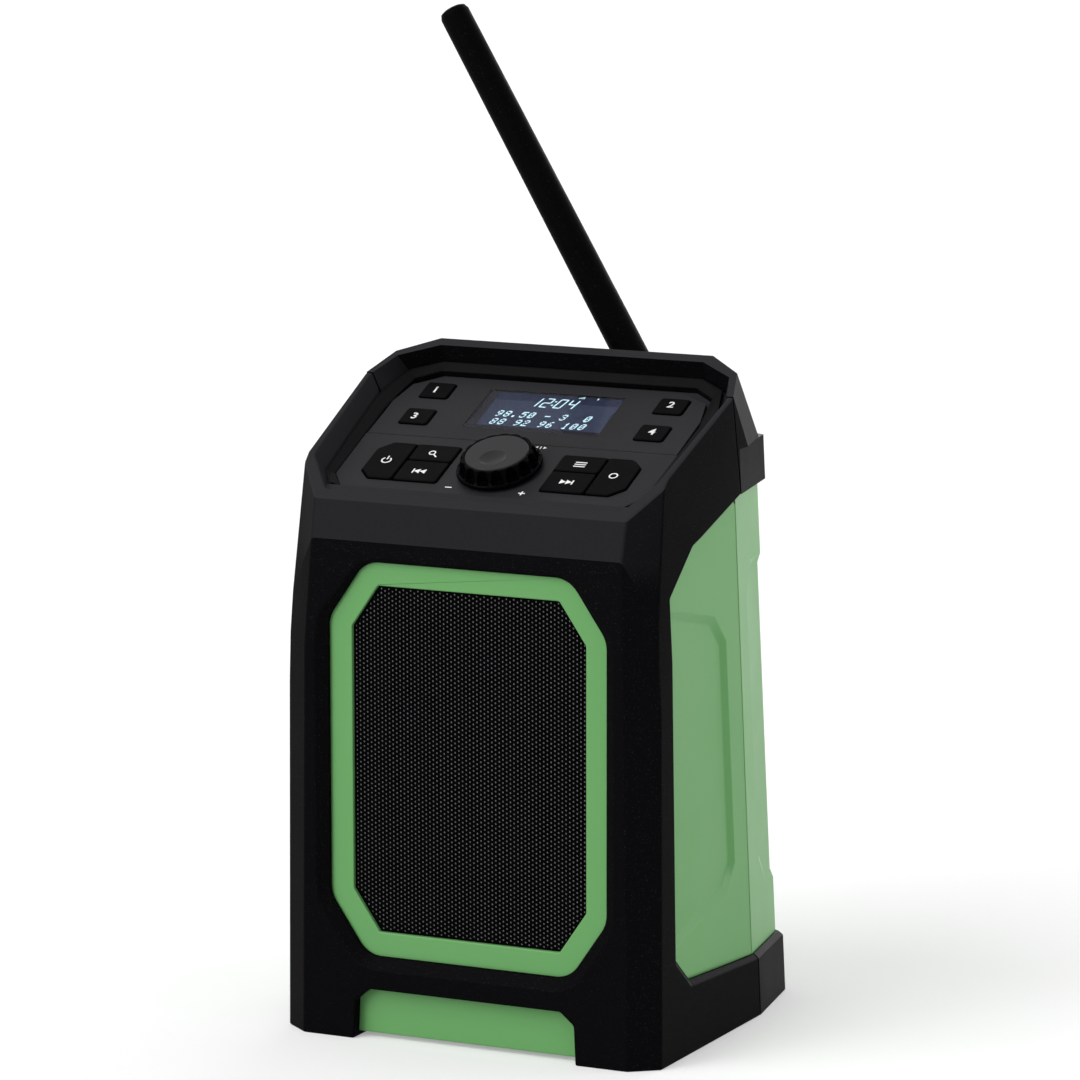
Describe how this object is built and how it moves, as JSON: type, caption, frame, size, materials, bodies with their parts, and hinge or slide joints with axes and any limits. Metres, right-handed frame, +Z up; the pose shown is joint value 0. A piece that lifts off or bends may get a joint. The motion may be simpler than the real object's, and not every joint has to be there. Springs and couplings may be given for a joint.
{
  "type": "jobsite radio",
  "caption": "Upright portable radio with a faceted black frame round a green case, sloped control tray, framed speaker grille, rear battery door and tilting rod aerial.",
  "frame": {"origin": "on the floor, under the middle of the outline", "axes": "+X to the viewer's right when facing the grille, -Y out of the front, +Z up"},
  "size_m": [0.1738, 0.156, 0.4197],
  "materials": {
    "black_frame": "fine textured black",
    "green_case": "satin green",
    "grille_steel": "black powder coat",
    "grille_fabric": "grey woven cloth",
    "panel_dark": "satin dark grey",
    "panel_bezel_grey": "satin grey",
    "key_black": "satin black",
    "knob_black": "semi-gloss black",
    "knob_satin": "satin dark grey",
    "display_clear": "clear",
    "display_blue": "dark blue",
    "backlight_white": "white",
    "board_green": "solder mask",
    "chip_black": "black",
    "steel": "plated",
    "baffle_black": "black",
    "gasket_foam": "foam",
    "cone_paper": "coated paper",
    "surround_rubber": "rubber",
    "magnet_ferrite": "ferrite",
    "cell_jacket": "plain metal jacket",
    "flap_rubber": "matt rubber",
    "aerial_plastic": "matt black",
    "aerial_rubber": "matt black"
  },
  "bodies": {
    "cabinet": {"aerial_pivot": "steel", "battery_box": "baffle_black", "battery_cells": "cell_jacket", "battery_springs": "steel", "board_parts": "chip_black", "board_screws": "steel", "bottom_rear_bumper": "black_frame", "case_screws": "steel", "contact_plates": "steel", "control_board": "board_green", "display_backlight": "backlight_white", "display_glass": "display_blue", "display_plate": "panel_dark", "display_window": "display_clear", "dust_cap": "cone_paper", "encoder_nut": "steel", "front_cabinet": "green_case", "front_frame": "black_frame", "grille": "grille_steel", "grille_cloth": "grille_fabric", "key_panel": "panel_dark", "key_switches": "chip_black", "line_socket": "chip_black", "main_board": "board_green", "panel_bezel": "panel_bezel_grey", "rear_cover": "green_case", "rotary_encoder": "steel", "socket_board": "board_green", "speaker_baffle": "baffle_black", "speaker_basket": "steel", "speaker_cone": "cone_paper", "speaker_gasket": "gasket_foam", "speaker_magnet": "magnet_ferrite", "speaker_screws": "steel", "speaker_surround": "surround_rubber", "supply_socket": "chip_black", "top_rear_bumper": "black_frame", "tuner_module": "steel"},
    "preset_1": {"preset_key_1": "key_black"},
    "preset_2": {"preset_key_2": "key_black"},
    "preset_3": {"preset_key_3": "key_black"},
    "preset_4": {"preset_key_4": "key_black"},
    "power": {"power_key": "key_black"},
    "scan": {"scan_key": "key_black"},
    "previous": {"previous_key": "key_black"},
    "menu": {"menu_key": "key_black"},
    "next": {"next_key": "key_black"},
    "mode": {"mode_key": "key_black"},
    "knob_carrier": {"encoder_plunger": "steel"},
    "tuning_knob": {"knob": "knob_black", "knob_cap": "knob_satin", "encoder_shaft": "steel"},
    "aerial": {"aerial_knuckle": "aerial_plastic", "aerial_rod": "aerial_rubber"},
    "door": {"battery_door": "green_case"},
    "flap": {"socket_flap": "flap_rubber"}
  },
  "joints": [
    {"name": "preset_1_press", "type": "slide", "parent": "cabinet", "child": "preset_1", "axis": [0, 0.4027, -0.9153], "range_m": [0, 0.0006], "stiffness_N_per_m": 1200, "springref_m": -0.0004},
    {"name": "preset_2_press", "type": "slide", "parent": "cabinet", "child": "preset_2", "axis": [0, 0.4027, -0.9153], "range_m": [0, 0.0006], "stiffness_N_per_m": 1200, "springref_m": -0.0004},
    {"name": "preset_3_press", "type": "slide", "parent": "cabinet", "child": "preset_3", "axis": [0, 0.4027, -0.9153], "range_m": [0, 0.0006], "stiffness_N_per_m": 1200, "springref_m": -0.0004},
    {"name": "preset_4_press", "type": "slide", "parent": "cabinet", "child": "preset_4", "axis": [0, 0.4027, -0.9153], "range_m": [0, 0.0006], "stiffness_N_per_m": 1200, "springref_m": -0.0004},
    {"name": "power_press", "type": "slide", "parent": "cabinet", "child": "power", "axis": [0, 0.4027, -0.9153], "range_m": [0, 0.0006], "stiffness_N_per_m": 1200, "springref_m": -0.0004},
    {"name": "scan_press", "type": "slide", "parent": "cabinet", "child": "scan", "axis": [0, 0.4027, -0.9153], "range_m": [0, 0.0006], "stiffness_N_per_m": 1200, "springref_m": -0.0004},
    {"name": "previous_press", "type": "slide", "parent": "cabinet", "child": "previous", "axis": [0, 0.4027, -0.9153], "range_m": [0, 0.0006], "stiffness_N_per_m": 1200, "springref_m": -0.0004},
    {"name": "menu_press", "type": "slide", "parent": "cabinet", "child": "menu", "axis": [0, 0.4027, -0.9153], "range_m": [0, 0.0006], "stiffness_N_per_m": 1200, "springref_m": -0.0004},
    {"name": "next_press", "type": "slide", "parent": "cabinet", "child": "next", "axis": [0, 0.4027, -0.9153], "range_m": [0, 0.0006], "stiffness_N_per_m": 1200, "springref_m": -0.0004},
    {"name": "mode_press", "type": "slide", "parent": "cabinet", "child": "mode", "axis": [0, 0.4027, -0.9153], "range_m": [0, 0.0006], "stiffness_N_per_m": 1200, "springref_m": -0.0004},
    {"name": "knob_press", "type": "slide", "parent": "cabinet", "child": "knob_carrier", "axis": [0, 0.4027, -0.9153], "range_m": [0, 0.0005], "stiffness_N_per_m": 4000, "springref_m": -0.0003},
    {"name": "knob_turn", "type": "hinge", "parent": "knob_carrier", "child": "tuning_knob", "pos_m": [0, -0.04182, 0.23808], "axis": [0, -0.4027, 0.9153], "continuous": true},
    {"name": "aerial_tilt", "type": "hinge", "parent": "cabinet", "child": "aerial", "pos_m": [0.0234, 0.06, 0.254], "axis": [0, 1, 0], "range_deg": [-58, 118]},
    {"name": "battery_door_swing", "type": "hinge", "parent": "cabinet", "child": "door", "pos_m": [0, 0.06665, 0.0573], "axis": [-1, 0, 0], "range_deg": [0, 95]},
    {"name": "socket_flap_swing", "type": "hinge", "parent": "cabinet", "child": "flap", "pos_m": [0.03, 0.0704, 0.03523], "axis": [-1, 0, 0], "range_deg": [0, 100]}
  ]
}
